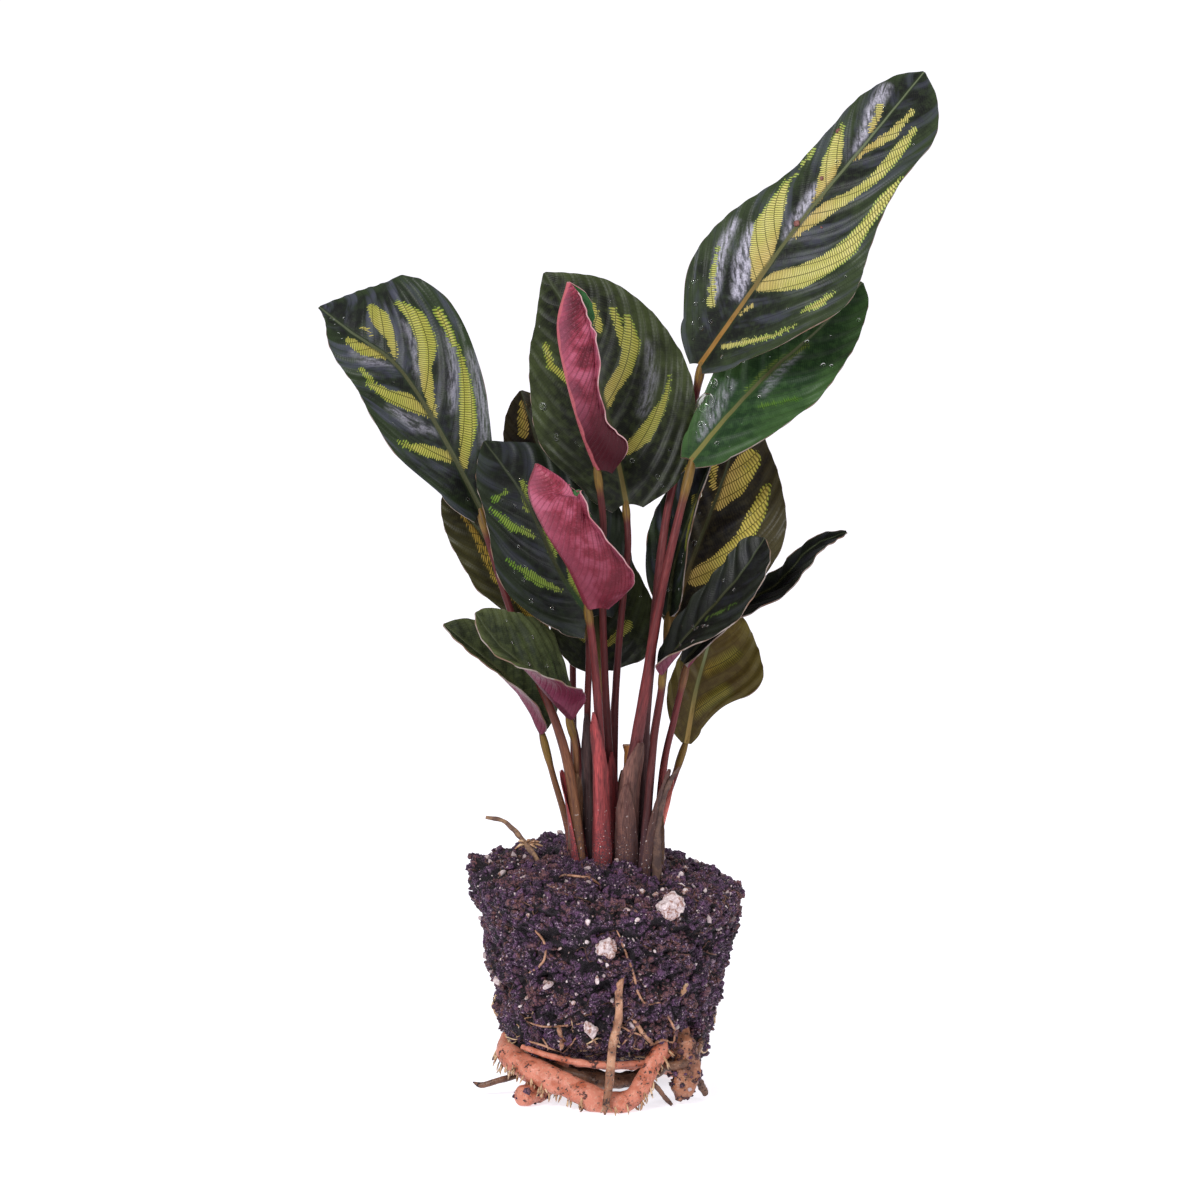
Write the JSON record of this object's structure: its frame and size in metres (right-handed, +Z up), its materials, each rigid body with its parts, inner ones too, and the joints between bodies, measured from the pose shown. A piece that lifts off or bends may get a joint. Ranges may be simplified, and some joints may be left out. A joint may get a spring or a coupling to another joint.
{
  "type": "young calathea plant on its bare root ball",
  "caption": "Young calathea lifted from its pot: patterned broad leaves on thin stems over a round ball of soil with thick roots at its foot.",
  "frame": {"origin": "middle of the plant's bounding box, on the floor that the root ball stands on", "axes": "+Z up along the stems, -Y towards the side that most leaves face, +X to that side's right"},
  "size_m": [0.1996, 0.0902, 0.3284],
  "materials": {
    "leaf_green": "satin, dark green with yellow-green feathers above and crimson below",
    "leaf_olive": "dull olive of an old leaf",
    "leaf_young": "satin crimson underside of a rolled young leaf",
    "stem_red": "satin red-brown, olive just under the leaf",
    "dry_sheath": "matt brown",
    "peat": "rough, damp and dark",
    "root_orange": "matt, fleshy",
    "root_brown": "matt, stringy",
    "perlite": "matt white grain"
  },
  "bodies": {
    "root": {"leaf_top_right": "leaf_green", "leaf_right_upper": "leaf_green", "leaf_centre_top": "leaf_green", "leaf_left_top": "leaf_green", "leaf_centre_left": "leaf_green", "leaf_left_back": "leaf_olive", "leaf_back": "leaf_green", "leaf_centre_low": "leaf_green", "leaf_right_back": "leaf_green", "leaf_right_folded": "leaf_green", "leaf_right_dark": "leaf_green", "leaf_right_curled": "leaf_green", "leaf_right_low": "leaf_olive", "leaf_front_left": "leaf_green", "leaf_low_left": "leaf_green", "leaf_young_upper": "leaf_young", "leaf_young_lower": "leaf_young", "stem_top_right": "stem_red", "stem_right_upper": "stem_red", "stem_centre_top": "stem_red", "stem_young_upper": "stem_red", "stem_left_top": "stem_red", "stem_centre_left": "stem_red", "stem_young_lower": "stem_red", "stem_left_back": "stem_red", "stem_back": "stem_red", "stem_centre_low": "stem_red", "stem_right_back": "stem_red", "stem_right_folded": "stem_red", "stem_right_dark": "stem_red", "stem_right_curled": "stem_red", "stem_right_low": "stem_red", "stem_front_left": "stem_red", "stem_low_left": "stem_red", "cut_stem": "dry_sheath", "dry_bract": "dry_sheath", "twig": "dry_sheath", "soil": "peat", "root_front": "root_orange", "root_left": "root_orange", "root_back": "root_orange", "root_front_thin": "root_brown", "root_right": "root_brown", "root_side": "root_brown", "perlite_large": "perlite", "perlite_front": "perlite", "perlite_low": "perlite"}
  },
  "joints": []
}
